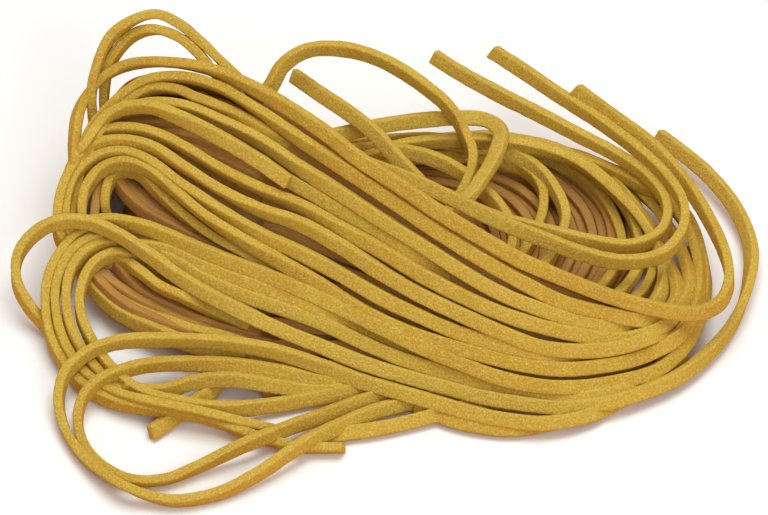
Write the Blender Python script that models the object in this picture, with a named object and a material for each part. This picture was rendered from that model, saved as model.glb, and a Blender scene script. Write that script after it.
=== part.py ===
"""Dry pasta nest: one loosely wound skein of stiff, square-cut ribbon noodles, fused into one solid.

A nest like this is one long winding that dried in the shape it fell: a high bundle leans across the
front, its left end opens into loops, its right end turns back round a hollow, and cut ends stick out.
Every noodle that shows is swept along its own route, and all are joined to a plain core below them.
"""
import math

import bmesh
import bpy
from mathutils import Vector

MM = 0.001

# The noodle: a flat ribbon cut from a rolled sheet, in millimetres.
NOODLE_WIDTH = 2.5
NOODLE_THICK = 1.6

# The view that the routes are drawn in: a picture of the nest, 6 pixels to a millimetre at its middle,
# looked down on at 45 degrees from 2.4 m away.
VIEW_SCALE = 6.0
VIEW_CENTRE_U = 384.0
VIEW_CENTRE_V = 257.5
VIEW_ANGLE = math.radians(45.0)
VIEW_DISTANCE = 2400.0

# Moves the finished nest so that the middle of its box stands over the origin, in millimetres.
NEST_SHIFT_X = -0.27
NEST_SHIFT_Y = 10.36

# How finely a route is followed, in millimetres, and the sharpest turn between two sections.
SECTION_STEP = 11.0
SECTION_TURN = math.radians(23.0)
ROUTE_SAMPLES = 14

# The front face of the heap, station by station from left to right:
# u, the crest's v and height, and the foot's v and height.
FRONT_FACE = [
    (60, 195, 14.0, 350, 2.5),
    (100, 84, 21.0, 396, 1.5),
    (150, 62, 26.0, 404, 1.5),
    (200, 66, 28.5, 405, 1.5),
    (250, 87, 29.0, 408, 1.5),
    (300, 115, 28.2, 401, 1.3),
    (350, 152, 27.0, 394, 1.3),
    (400, 186, 26.0, 400, 1.3),
    (450, 219, 24.0, 408, 1.3),
    (500, 248, 21.3, 419, 1.3),
    (550, 273, 18.0, 423, 1.3),
    (600, 293, 15.0, 411, 1.3),
    (650, 308, 12.0, 392, 1.4),
    (700, 313, 9.5, 364, 1.5),
    (750, 313, 6.0, 340, 1.5),
]

# The noodles. Each has a lift above the front face, its lean at even steps along it (0 lies flat,
# 45 faces the front and up, 90 stands on edge), and its route. A route point is (u, v) where the
# noodle lies on the front face, and (u, v, height) where it leaves it.
NOODLES = {
    "crest": (0.6, (90, 125, 130, 75, 55, 55, 55, 65, 100, 118, 122), [
        (69, 204, 9.5), (71, 184, 12.0), (74, 163), (74.5, 138), (80, 108), (96, 84), (120, 68),
        (150, 62), (185, 64), (215, 71),
        (245, 84), (280, 103), (320, 129), (360, 160), (400, 186), (440, 213), (480, 237),
        (520, 260), (560, 277), (600, 293), (640, 305), (680, 313), (703, 312, 9.5),
        (720, 303, 9.2), (729, 283, 9.0), (726, 258, 9.0), (709, 220, 9.5), (683, 180, 10.5),
        (650, 144.5, 12.0), (617, 120, 13.0), (575, 89, 14.0)]),
    "second": (0.0, (90, 125, 115, 60, 50, 50, 50, 55, 85, 90), [
        (66, 196, 10.5), (70, 176, 13.0), (78, 156), (92, 127), (120, 97), (146, 81), (175, 77),
        (200, 80.5), (225, 90), (262, 113),
        (305, 143), (350, 172), (400, 206), (440, 233), (480, 258), (520, 281), (560, 301),
        (600, 312), (640, 320), (663, 316, 8.5), (677, 300, 7.5), (676, 280, 7.2),
        (664, 256, 7.0), (647, 222, 6.4), (622, 190, 5.6), (585, 164, 5.0), (545, 151, 5.0),
        (500, 147, 5.0), (455, 148, 5.0), (420, 154, 5.2)]),
    "tall_arch": (0.0, (85, 90, 105, 135, 130, 110, 90), [
        (99, 155, 11.0), (92, 108, 17.5), (94, 78, 22.0), (109, 40, 27.0), (132, 21, 30.0),
        (156, 14, 31.0), (178, 23, 30.5), (200, 41, 29.0), (225, 65, 27.5), (250, 90, 25.5),
        (285, 118, 23.0)]),
    "inner_arch": (0.0, (85, 90, 105, 135, 125, 100, 80), [
        (106, 140, 12.5), (104, 98, 18.0), (110, 64, 23.0), (131, 37, 27.0), (155, 29.5, 29.0),
        (180, 38, 29.0), (198, 53, 28.0), (215, 73, 26.3), (234, 93, 24.3), (268, 131, 21.5)]),
    "low_arch": (-0.6, (90, 110, 130, 75, 55), [
        (100, 135, 15.0), (114, 115), (131, 101), (152, 89), (178, 90), (200, 99), (230, 113),
        (262, 131), (300, 156, 21.0)]),
    "third": (-0.3, (115, 100, 60, 50, 50, 50, 60, 90, 90), [
        (118, 112), (150, 104), (185, 107), (220, 121), (260, 141), (300, 168), (340, 193),
        (380, 219), (420, 244), (460, 270), (500, 293), (540, 309), (580, 321), (618, 327),
        (645, 316, 8.0), (661, 293, 7.4), (665, 270, 7.0), (658, 246, 8.6), (640, 216, 9.0),
        (612, 188, 9.0), (575, 161, 9.2), (540, 149, 9.6), (505, 143.5, 10.2),
        (465, 141, 10.8), (430, 142, 11.4), (395, 148, 12.0), (362, 160, 12.6)]),
    "cut_front": (1.2, (90, 110, 95, 60, 50), [
        (67, 190, 10.5), (73, 170, 13.0), (84, 147), (99, 125), (120, 110), (150, 107), (180, 118),
        (220, 138), (260, 162),
        (289, 182.5)]),
    "shaded": (-1.0, (50, 50), [
        (262, 166), (300, 187), (340, 210), (380, 232), (415, 254), (450, 276, 14.8), (490, 298, 12.9),
        (530, 314.5, 11.2)]),
    "fourth": (0.0, (90, 105, 110, 60, 50, 50, 50, 60, 90, 90), [
        (70, 186), (85, 152), (102, 134), (130, 129.5), (160, 136), (190, 151), (220, 169),
        (260, 189), (300, 206), (340, 228), (380, 250), (420, 274), (460, 295), (500, 313),
        (540, 326), (580, 335), (620, 339), (655, 330), (680, 308, 7.0), (690, 285, 6.5),
        (684, 258, 6.3), (670, 228, 5.4), (648, 200, 4.4), (618, 177, 3.6), (580, 158, 3.0),
        (540, 151, 2.8), (500, 149, 2.6), (455, 151, 2.6)]),
    "fifth": (0.4, (70, 80, 85, 90, 90, 115, 75, 50, 50, 50, 50, 55), [
        (305, 366, 2.4), (262, 350, 3.8), (225, 338, 5.3), (190, 330, 4.8), (150, 313, 4.6),
        (110, 290, 5.0), (84, 268, 6.5),
        (66, 250, 8.0), (58, 225), (61, 195), (73, 168), (88, 149), (114, 142), (150, 147),
        (185, 168), (220, 190), (260, 210), (300, 224), (340, 246), (380, 272), (420, 295),
        (460, 314), (500, 332), (540, 347), (580, 351), (620, 347), (650, 337),
        (682, 320, 5.2), (698, 298, 3.8), (701, 274, 2.3), (692, 248, 1.3)]),
    "sixth": (0.0, (90, 90, 115, 75, 50, 50, 50, 55), [
        (78, 252, 6.5), (66, 226), (67, 200), (77, 175), (97, 158), (123, 153), (152, 163),
        (185, 187), (220, 211), (260, 235), (300, 253), (340, 274), (380, 297), (420, 316),
        (460, 333), (500, 345), (545, 354), (585, 359.5, 6.3), (620, 356.5, 5.7), (655, 347, 5.5)]),
    "eye_rim": (0.0, (90, 90, 110, 65, 50, 50, 50, 55, 70, 90, 95), [
        (92, 244, 7.5), (82, 216), (86, 190), (102, 170), (127, 163.5), (152, 172), (176, 192),
        (205, 216), (240, 239), (280, 262), (320, 285), (360, 310), (400, 329), (440, 343),
        (480, 354), (520, 364), (560, 369), (600, 366), (640, 357), (675, 339),
        (693, 315, 5.6), (700, 290, 5.2), (699, 262, 5.2), (687, 228, 5.6), (669, 204, 6.2),
        (645, 188, 6.6), (618, 174, 6.9), (592, 163, 7.1), (560, 154, 7.1), (520, 149, 7.0)]),
    "eye_depth": (-2.0, (90, 90, 120, 130), [
        (108, 226, 8.0), (105, 202), (110, 182), (122, 171), (138, 173), (162, 196), (188, 219),
        (215, 238), (250, 257), (290, 280)]),
    "seventh": (0.0, (100, 65, 50, 50, 50, 50, 60, 90, 100, 100), [
        (90, 222), (112, 221), (150, 229), (190, 246), (230, 262), (270, 277), (310, 294),
        (350, 313), (390, 332), (430, 351), (470, 367), (500, 378), (540, 386), (580, 387),
        (620, 381), (655, 371), (683, 347, 4.6), (699, 318, 3.8), (706, 285, 3.6),
        (701, 250, 3.6), (686, 216, 4.4), (665, 197, 4.8), (640, 183, 4.8), (612, 171, 4.8),
        (585, 161, 4.8), (550, 152, 4.8), (510, 148, 4.8)]),
    "eighth": (-0.6, (60, 50, 50), [
        (135, 246), (165, 250), (200, 266), (240, 281), (280, 294), (325, 312), (360, 331, 6.4),
        (400, 349, 5.3), (440, 364, 4.4)]),
    "ninth": (-0.9, (60, 50, 50, 50), [
        (160, 256), (180, 264), (200, 277), (240, 294), (280, 308), (320, 322), (360, 341),
        (400, 358), (440, 371), (480, 384), (515, 392), (550, 396.5, 3.4), (585, 397, 3.3),
        (620, 391, 3.0), (655, 377, 2.2), (688, 358, 1.5)]),
    "far_loop": (0.0, (90, 90, 90, 75, 45, 50, 50, 50, 55, 85, 125, 125, 120), [
        (72, 356, 1.5), (48, 328, 2.4), (30, 308, 4.0), (17, 283, 6.5), (18, 257, 9.0),
        (35, 234, 11.5), (60, 222, 13.6), (90, 223, 13.4), (120, 236, 12.6), (150, 256, 12.0),
        (180, 278), (210, 296), (240, 311), (280, 330), (320, 346), (360, 362), (400, 375),
        (440, 386), (480, 396.5), (520, 403.5), (560, 407.5, 2.4), (600, 404, 2.9),
        (640, 393.5, 2.7), (680, 376, 2.5), (712, 350, 2.4), (735, 320, 2.4), (749, 280, 2.4),
        (750, 245, 2.6), (735, 208, 3.2), (706, 173, 3.6), (682, 153, 3.4), (658, 135, 3.0)]),
    "front_loop": (0.3, (-50, -50, -50, -60, -90, -90, -75, -52, -85, -115, -125), [
        (668, 366, 1.3), (640, 388, 1.4), (605, 408.5, 1.6), (580, 418, 2.2), (540, 423.5, 2.6),
        (500, 419, 2.8), (480, 415, 3.0),
        (440, 404, 3.2), (400, 392.5, 3.6), (360, 381), (320, 366), (280, 353), (240, 345),
        (200, 341), (160, 340), (120, 342, 6.8), (90, 352, 6.0), (67, 372, 4.6), (59, 398, 2.8),
        (64, 426, 1.6), (80, 453, 1.4), (103, 473, 2.4), (125, 486, 3.2), (150, 496, 2.0),
        (180, 501, 1.4), (220, 493, 1.5), (260, 473, 2.4), (300, 446, 3.4), (340, 426, 2.6),
        (380, 410, 1.6), (415, 402, 1.4), (450, 392, 1.3)]),
    "inner_loop": (0.0, (-50, -50, -60, -90, -90, -65, -60, -95, -120, -130), [
        (405, 386, 1.3), (375, 388, 1.4), (345, 386, 1.9), (320, 382), (280, 372), (240, 366), (200, 364),
        (160, 364), (130, 369, 5.0), (102, 380, 4.6), (84, 397, 3.2), (78, 420, 1.8),
        (85, 446, 1.4), (104, 467, 1.4), (130, 480, 1.4), (160, 480.5, 1.4), (200, 466, 1.9),
        (240, 447, 3.4), (280, 431, 3.2), (320, 417, 2.0), (360, 402, 1.5), (395, 392, 1.3)]),
    "mid_lane": (0.0, (90, 60, 50), [
        (122, 386, 3.8), (142, 391), (165, 391), (195, 382), (230, 379.5), (270, 385),
        (312, 391, 2.0), (345, 390, 1.5), (378, 384, 1.3)]),
    "ring_outer": (0.0, (55, 60, 70, 90, 90, 90, 90), [
        (344, 448, 1.4), (300, 447, 1.5), (255, 436, 1.6), (205, 418, 2.6), (150, 409, 2.8),
        (112, 401, 2.2), (82, 385, 2.0), (61, 360, 2.4), (49, 332, 3.6), (45.5, 300, 5.8),
        (50, 275, 7.8), (66, 247, 9.8), (85, 232, 10.6), (112, 238, 9.5)]),
    "ring_second": (0.0, (60, 60, 80, 90, 90, 90, 90), [
        (275, 430, 1.8), (240, 422, 2.8), (200, 412, 4.2), (150, 403, 4.0), (115, 394, 3.0),
        (86, 376, 2.6), (67, 350, 3.4), (57, 320, 5.0), (56, 290, 6.8), (67, 260, 9.0),
        (85, 243, 10.2), (108, 236, 10.2), (132, 244, 9.0)]),
    "ring_third": (0.0, (70, 90, 90, 90, 90), [
        (175, 402, 2.0), (140, 396, 2.2), (110, 384, 2.6), (88, 360, 3.6), (72, 332, 5.0),
        (66, 300, 6.8), (72, 270, 8.4), (90, 250, 9.6), (115, 243, 9.6), (142, 250, 8.6)]),
    "ring_inner": (0.0, (80, 90, 90, 90, 75, 60, 55), [
        (160, 272, 7.5), (138, 258, 8.6), (112, 255, 9.2), (92, 267, 8.6), (80.5, 292, 7.2),
        (81, 317, 6.0), (93, 344, 4.8), (112, 370, 4.0), (140, 392, 3.4), (178, 403, 3.6),
        (225, 409, 2.8), (275, 405, 1.9), (325, 396, 1.5), (352, 391, 1.4),
        (390, 384, 1.3)]),
    "low_cut": (0.0, (60, 60), [
        (150, 435, 1.0), (168, 424, 1.0), (190, 408, 1.2), (214, 388, 1.6), (232, 366, 2.6)]),
    "under_front": (0.0, (40, 45), [
        (318, 438, 1.3), (345, 434, 1.3), (380, 429, 1.3), (420, 420, 1.3), (448, 412, 1.3),
        (485, 402, 1.3)]),
    "under_foot": (0.0, (40, 45), [
        (415, 406, 1.2), (448, 420, 1.2), (480, 427.5, 1.2), (512, 430, 1.2), (545, 426, 1.2),
        (580, 412, 1.2), (612, 396, 1.2)]),
    "eye_floor": (-1.0, (85, 70, 60), [
        (76, 262, 6.5), (90, 285, 5.0), (118, 312, 4.2), (155, 331, 4.6), (200, 348, 4.6),
        (245, 361, 3.2)]),
    "eye_upper": (-1.2, (90, 110, 120), [
        (100, 262, 7.0), (122, 262, 7.6), (140, 272), (160, 287), (185, 298), (222, 316, 5.8),
        (256, 332, 3.6)]),
    "outer_hairpin": (0.0, (60, 75, 90, 90, 90, 105, 128, 135, 135), [
        (492, 51, 13.0), (520, 69, 12.5), (560, 96, 12.3), (600, 122, 12.3), (640, 152, 12.3),
        (668, 179, 12.2), (684, 207, 12.0), (681, 235, 12.0), (660, 256, 12.4), (620, 262, 13.5),
        (580, 253, 15.0), (540, 238, 16.8), (500, 222, 18.8), (460, 203, 20.8),
        (425, 186, 22.0), (395, 174, 22.4), (365, 163, 22.4), (335, 148, 22.4)]),
    "inner_hairpin": (0.0, (60, 75, 90, 90, 95, 118, 130), [
        (433, 56, 14.0), (460, 73, 13.0), (500, 95, 12.0), (540, 115, 11.2), (580, 136, 10.6),
        (620, 157, 10.2), (650, 179, 10.0), (667, 206, 9.8), (662, 232, 9.8), (634, 246, 10.4),
        (595, 243, 11.6), (555, 234, 13.0), (525, 226.5, 13.6), (495, 218, 14.2), (462, 204, 15.0),
        (430, 190, 16.0)]),
    "back_arch": (0.0, (60, 80, 90, 90, 90, 100, 110), [
        (255, 104, 19.0), (270, 88, 21.0), (283, 66, 23.5), (306, 51, 25.0), (335, 48.5, 25.0),
        (365, 54, 24.0), (395, 67, 22.5), (425, 87, 20.5), (449, 108, 17.8), (463, 131, 14.5),
        (473, 155, 12.6), (469, 180, 12.6), (457, 201, 12.6), (438, 216, 12.2),
        (416, 226, 11.6)]),
    "kinked": (0.0, (60, 60, 65, 40, 20, 20), [
        (338, 135, 15.0), (380, 126, 15.0), (420, 120.5, 14.8),
        (460, 118, 14.2), (486, 120, 13.8), (500, 130, 13.6), (496, 154, 14.2),
        (482, 179, 15.4), (468, 197, 15.8), (450, 211, 15.4), (430, 222, 14.6)]),
    "back_cut": (0.0, (55, 55), [
        (293, 75, 18.0), (320, 94, 18.2), (350, 114, 18.6), (375, 134, 18.6), (398, 160, 19.0),
        (416, 179, 18.2), (434, 199, 15.6)]),
    "wall_low": (0.0, (60, 60, 80, 90), [
        (395, 141, 10.2), (430, 140, 10.2), (465, 145, 9.6), (505, 152, 8.6),
        (535, 168, 7.6), (556, 192, 6.8), (565, 217, 6.4), (558, 244, 6.6), (540, 272, 7.6),
        (512, 300, 8.0)]),
    "wall_inner": (0.0, (60, 70, 85), [
        (405, 152, 13.0), (445, 164, 12.6), (480, 188, 11.8),
        (503, 213, 11.0), (512, 236, 11.0), (506, 260, 11.6), (482, 277, 12.0)]),
    "hollow_first": (0.0, (60, 90, 90), [
        (430, 157, 7.6), (475, 155, 7.4), (505, 161, 7.0), (528, 172, 6.2), (542, 190, 5.6),
        (543, 212, 5.2), (534, 236, 5.4), (516, 264, 6.4),
        (484, 294, 6.6)]),
    "hollow_low": (0.0, (60, 90, 90), [
        (425, 150, 5.2), (470, 143, 5.2), (515, 146, 5.2), (555, 161, 4.8), (593, 188, 4.4),
        (615, 220, 4.4), (622, 250, 4.8), (610, 278, 6.0), (590, 300, 7.0), (562, 318, 7.0)]),
    "hollow_high": (0.0, (60, 85, 90, 90), [
        (440, 142, 8.0), (485, 138, 8.0), (525, 143, 8.0), (560, 152, 7.6), (600, 177, 7.2),
        (627, 208, 6.8), (638, 236, 6.6), (640, 262, 6.8), (630, 283, 7.4), (606, 305, 8.2),
        (576, 320, 8.0)]),
    "hollow_outer": (0.0, (60, 85, 90, 90), [
        (420, 143, 2.6), (465, 139, 2.6), (510, 142, 2.6), (550, 151, 2.6), (590, 165, 2.6),
        (622, 188, 2.8), (642, 218, 3.2), (650, 245, 4.0), (653, 270, 5.0), (645, 290, 6.0),
        (620, 313, 7.2), (592, 326, 7.0)]),
}

# The winding hidden behind the crest, lane by lane: how far the lane's picture lies below the
# crest's, in pixels, its height at its middle, in millimetres, and the noodle of the hollow that it
# runs on into, if any.
BACK_LANES = [
    (16, 23.6, None),
    (20, 20.8, None),
    (24, 18.0, None),
    (28, 15.0, "kinked"),
    (30, 12.6, "wall_inner"),
    (32, 10.0, "wall_low"),
    (22, 8.4, "hollow_high"),
    (36, 7.4, "hollow_first"),
    (40, 4.9, "hollow_low"),
    (46, 2.4, "hollow_outer"),
    (24, 5.6, None),
    (28, 2.8, None),
]
BACK_LEAN = 118
LANE_LEANS = [90] + [BACK_LEAN] * 5
# A lane is about half of such a long noodle, so the leans of its other half count twice.
SHOWN_SHARE = 2
CREST_TOP = 29.0
LOWEST_LANE = 1.4
# Where a hidden lane passes, from the left end to behind the crest, and where one that runs into no
# other noodle stops. The left end is a turn under the loops, at these shares of the lane's height.
BACK_LEFT_TURN = [(70, 236, 0.42), (73, 205, 0.5), (82, 166, 0.64), (100, 130, 0.8)]
BACK_LEFT_SHIFT = 1.1
BACK_LEFT_SHIFTS = 4
BACK_STATIONS = (130, 180, 240, 300)
BACK_CUT_STATIONS = (345, 385)
# The back of the heap: its reach behind the crest on the left and at the hollow, in millimetres,
# and where in the picture the one passes into the other.
BACK_FULL = 18.5
BACK_WALL = 8.0
BACK_FULL_U = 340
BACK_WALL_U = 430

# The noodles on the floor of the hollow: bends nested between an outer and an inner one.
FLOOR_OUTER = [(330, 212), (375, 170), (430, 150), (490, 149), (540, 158), (585, 183), (612, 215),
               (618, 250), (600, 288), (540, 342)]
FLOOR_INNER = [(350, 225), (385, 202), (415, 197), (440, 203), (458, 213), (470, 226), (476, 240),
               (476, 256), (470, 272), (435, 312)]
FLOOR_NOODLES = 4
FLOOR_HEIGHT = 1.4
FLOOR_LEANS = (60, 75, 90, 90, 90, 90)

# The plain body inside the heap, in millimetres.
CORE_LEFT = -45.0
CORE_RIGHT = 47.0
CORE_DEPTH = 4.2
CORE_FRONT_INSET = 5.0
CORE_BACK_INSET = 3.5
CORE_RIM = 1.2
CORE_ROUND = 2.2
CORE_SEGMENTS = 24
CORE_RINGS = 11
FLAT_SIDE = 0.01
HEIGHT_ROUNDS = 12

# Points closer than this are one, in metres.
WELD_DISTANCE = 0.00001

NOODLE_COLOUR = (0.62, 0.44, 0.11, 1.0)
NOODLE_ROUGHNESS = 0.75


def clear_scene():
    for item in list(bpy.data.objects):
        bpy.data.objects.remove(item, do_unlink=True)


def blend(a, b, share):
    return a + (b - a) * share


def read_stations(stations, u):
    """The row of a table at u, in straight steps between its stations."""
    if u <= stations[0][0]:
        return stations[0]
    for left, right in zip(stations, stations[1:]):
        if u <= right[0]:
            share = (u - left[0]) / (right[0] - left[0])
            return tuple(blend(a, b, share) for a, b in zip(left, right))
    return stations[-1]


def front_height(u, v):
    """Height of the heap's front face where the picture shows (u, v)."""
    _, crest_v, crest_z, foot_v, foot_z = read_stations(FRONT_FACE, u)
    share = (foot_v - v) / (foot_v - crest_v)
    return blend(foot_z, crest_z, min(1.0, max(0.0, share)))


def place(u, v, height):
    """The point, in millimetres, that the picture shows at (u, v) and that lies at this height."""
    right = (u - VIEW_CENTRE_U) / VIEW_SCALE
    up = (VIEW_CENTRE_V - v) / VIEW_SCALE
    eye_y = -VIEW_DISTANCE * math.cos(VIEW_ANGLE)
    eye_z = VIEW_DISTANCE * math.sin(VIEW_ANGLE)
    plane_y = up * math.sin(VIEW_ANGLE)
    plane_z = up * math.cos(VIEW_ANGLE)
    reach = (eye_z - height) / (eye_z - plane_z)
    return Vector((reach * right, eye_y + reach * (plane_y - eye_y), height))


def rounded(points):
    """A smooth path through the points, finely sampled, with each sample's share of the length."""
    ends = [points[0] * 2 - points[1]] + points + [points[-1] * 2 - points[-2]]
    path = []
    for p0, p1, p2, p3 in zip(ends, ends[1:], ends[2:], ends[3:]):
        t1 = (p1 - p0).length ** 0.5
        t2 = t1 + (p2 - p1).length ** 0.5
        t3 = t2 + (p3 - p2).length ** 0.5
        for step in range(ROUTE_SAMPLES):
            t = blend(t1, t2, step / ROUTE_SAMPLES)
            a1 = p0 * ((t1 - t) / t1) + p1 * (t / t1)
            a2 = p1 * ((t2 - t) / (t2 - t1)) + p2 * ((t - t1) / (t2 - t1))
            a3 = p2 * ((t3 - t) / (t3 - t2)) + p3 * ((t - t2) / (t3 - t2))
            b1 = a1 * ((t2 - t) / t2) + a2 * (t / t2)
            b2 = a2 * ((t3 - t) / (t3 - t1)) + a3 * ((t - t1) / (t3 - t1))
            path.append(b1 * ((t2 - t) / (t2 - t1)) + b2 * ((t - t1) / (t2 - t1)))
    path.append(points[-1].copy())
    return path


def thinned(path):
    """Few samples of a fine path: a new one after each full step, or sooner where it turns."""
    kept = [0]
    for index in range(1, len(path) - 1):
        last = path[kept[-1]]
        start = (path[kept[-1] + 1] - last).normalized()
        here = (path[index + 1] - path[index]).normalized()
        far = (path[index] - last).length
        turned = start.angle(here, 0.0)
        if far >= SECTION_STEP or (turned >= SECTION_TURN and far > NOODLE_WIDTH):
            kept.append(index)
    if (path[-1] - path[kept[-1]]).length < NOODLE_THICK and len(kept) > 1:
        kept.pop()
    kept.append(len(path) - 1)
    return kept


def spread(values, share):
    """The value at a share of the way along an evenly spread list."""
    place_in = share * (len(values) - 1)
    first = min(int(place_in), len(values) - 2)
    return blend(values[first], values[first + 1], place_in - first)


def noodle_section():
    """The ribbon's cross-section: its width along X and its thickness along Y."""
    curve = bpy.data.curves.new("noodle_section", "CURVE")
    curve.dimensions = "2D"
    curve.fill_mode = "NONE"
    spline = curve.splines.new("POLY")
    spline.points.add(3)
    half_w = NOODLE_WIDTH / 2 * MM
    half_t = NOODLE_THICK / 2 * MM
    corners = [(-half_w, -half_t), (half_w, -half_t), (half_w, half_t), (-half_w, half_t)]
    for point, (x, y) in zip(spline.points, corners):
        point.co = (x, y, 0.0, 1.0)
    spline.use_cyclic_u = True
    section = bpy.data.objects.new("noodle_section", curve)
    section.hide_render = True
    section.display_type = "WIRE"
    return section


def rest_height(lean):
    """Lowest height of a noodle's middle above the table at this lean."""
    turn = math.radians(lean)
    return abs(math.sin(turn)) * NOODLE_WIDTH / 2 + abs(math.cos(turn)) * NOODLE_THICK / 2


def sweep_noodle(name, leans, points, section, collection):
    """One noodle as a closed mesh: the section swept along the route, capped where it was cut."""
    path = rounded(points)
    lengths = [0.0]
    for a, b in zip(path, path[1:]):
        lengths.append(lengths[-1] + (b - a).length)
    kept = thinned(path)
    curve = bpy.data.curves.new(name, "CURVE")
    curve.dimensions = "3D"
    curve.twist_mode = "Z_UP"
    curve.bevel_mode = "OBJECT"
    curve.bevel_object = section
    curve.use_fill_caps = True
    spline = curve.splines.new("POLY")
    spline.points.add(len(kept) - 1)
    for point, index in zip(spline.points, kept):
        lean = spread(leans, lengths[index] / lengths[-1])
        spot = path[index]
        height = max(spot.z, rest_height(lean))
        point.co = ((spot.x + NEST_SHIFT_X) * MM, (spot.y + NEST_SHIFT_Y) * MM, height * MM, 1.0)
        point.tilt = math.radians(lean)
    holder = bpy.data.objects.new(name + "_curve", curve)
    collection.objects.link(holder)
    bpy.context.view_layer.update()
    swept = holder.evaluated_get(bpy.context.evaluated_depsgraph_get())
    mesh = bpy.data.meshes.new_from_object(swept)
    bpy.data.objects.remove(holder)
    shape = bmesh.new()
    shape.from_mesh(mesh)
    bmesh.ops.remove_doubles(shape, verts=shape.verts, dist=WELD_DISTANCE)
    bmesh.ops.recalc_face_normals(shape, faces=shape.faces)
    shape.to_mesh(mesh)
    shape.free()
    noodle = bpy.data.objects.new(name, mesh)
    collection.objects.link(noodle)
    return noodle


def route_points(lift, route):
    points = []
    for spot in route:
        height = spot[2] if len(spot) == 3 else front_height(spot[0], spot[1]) + lift
        points.append(place(spot[0], spot[1], height))
    return points


def back_lane_route(index, below, height, runs_on):
    """A hidden lane: from a turn under the left loops it climbs behind the crest towards the right."""
    shift = BACK_LEFT_SHIFT * (index % BACK_LEFT_SHIFTS)
    route = [(u + shift, v + shift, max(LOWEST_LANE, height * share)) for u, v, share in BACK_LEFT_TURN]
    stations = BACK_STATIONS if runs_on else BACK_STATIONS + BACK_CUT_STATIONS
    for u in stations:
        crest_v, crest_z = read_stations(FRONT_FACE, u)[1:3]
        route.append((u, crest_v + below, max(LOWEST_LANE, height * crest_z / CREST_TOP)))
    return route


def floor_route(share):
    """A bend on the floor of the hollow, at this share of the way from the outer to the inner one."""
    pairs = zip(FLOOR_OUTER, FLOOR_INNER)
    return [(blend(u, in_u, share), blend(v, in_v, share), FLOOR_HEIGHT) for (u, v), (in_u, in_v) in pairs]


def crest_back(u):
    """How far the heap reaches behind its crest: a broad back on the left, a wall at the hollow."""
    share = min(1.0, max(0.0, (u - BACK_FULL_U) / (BACK_WALL_U - BACK_FULL_U)))
    return blend(BACK_FULL, BACK_WALL, share)


def picture_y(v, height):
    """Distance back from the front, in millimetres, of what shows at v and lies at this height."""
    up = (VIEW_CENTRE_V - v) / VIEW_SCALE
    return (up - height * math.cos(VIEW_ANGLE)) / math.sin(VIEW_ANGLE)


def heap_height(x, y):
    """Height of the heap's surface over a point of the table, in millimetres."""
    u = x * VIEW_SCALE + VIEW_CENTRE_U
    _, crest_v, crest_z, _, _ = read_stations(FRONT_FACE, u)
    crest_y = picture_y(crest_v, crest_z)
    if y > crest_y:
        return crest_z * (1.0 - (y - crest_y) / crest_back(u))
    height = crest_z / 2
    for _ in range(HEIGHT_ROUNDS):
        up = y * math.sin(VIEW_ANGLE) + height * math.cos(VIEW_ANGLE)
        height = front_height(u, VIEW_CENTRE_V - up * VIEW_SCALE)
    return height


def make_core(collection):
    """The plain body inside the heap: a ball drawn out under the bundle, flat where it rests."""
    bpy.ops.mesh.primitive_uv_sphere_add(segments=CORE_SEGMENTS, ring_count=CORE_RINGS, radius=1.0)
    core = bpy.context.active_object
    core.name = "core"
    for vertex in core.data.vertices:
        a, b, c = vertex.co
        x = blend(CORE_LEFT, CORE_RIGHT, (a + 1) / 2)
        u = x * VIEW_SCALE + VIEW_CENTRE_U
        _, crest_v, crest_z, foot_v, foot_z = read_stations(FRONT_FACE, u)
        front_y = picture_y(foot_v, foot_z) + CORE_FRONT_INSET
        back_y = picture_y(crest_v, crest_z) + crest_back(u) - CORE_BACK_INSET
        y = blend(front_y, back_y, (b + 1) / 2)
        height = 0.0
        if c > FLAT_SIDE:
            height = max(CORE_RIM, heap_height(x, y) - CORE_DEPTH) * min(1.0, c * CORE_ROUND)
        vertex.co = ((x + NEST_SHIFT_X) * MM, (y + NEST_SHIFT_Y) * MM, height * MM)
    for owner in list(core.users_collection):
        owner.objects.unlink(core)
    collection.objects.link(core)
    return core


def make_noodles(collection):
    section = noodle_section()
    collection.objects.link(section)
    for index, (below, height, runs_on) in enumerate(BACK_LANES):
        lane = route_points(0.0, back_lane_route(index, below, height, runs_on))
        leans = list(LANE_LEANS)
        if runs_on:
            lift, last_leans, route = NOODLES[runs_on]
            lane += route_points(lift, route)
            leans += [BACK_LEAN] + [lean for lean in last_leans for _ in range(SHOWN_SHARE)]
        sweep_noodle(runs_on or "back_lane_%d" % (index + 1), leans, lane, section, collection)
    hidden_starts = [runs_on for _, _, runs_on in BACK_LANES]
    for name, (lift, leans, route) in NOODLES.items():
        if name not in hidden_starts:
            sweep_noodle(name, leans, route_points(lift, route), section, collection)
    for index in range(FLOOR_NOODLES):
        route = floor_route(index / (FLOOR_NOODLES - 1))
        name = "floor_noodle_%d" % (index + 1)
        sweep_noodle(name, FLOOR_LEANS, route_points(0.0, route), section, collection)
    bpy.data.objects.remove(section)


def fuse(core, noodles):
    """Joins the noodles to the core by one union and removes them."""
    union = core.modifiers.new("fuse", "BOOLEAN")
    union.operation = "UNION"
    union.operand_type = "COLLECTION"
    union.collection = noodles
    union.solver = "MANIFOLD"
    bpy.context.view_layer.objects.active = core
    bpy.ops.object.modifier_apply(modifier=union.name)
    for item in list(noodles.objects):
        bpy.data.objects.remove(item)
    bpy.data.collections.remove(noodles)


def signed_volume(faces):
    total = 0.0
    for face in faces:
        first = face.verts[0].co
        for a, b in zip(face.verts[1:], face.verts[2:]):
            total += first.dot(a.co.cross(b.co)) / 6
    return total


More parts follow.
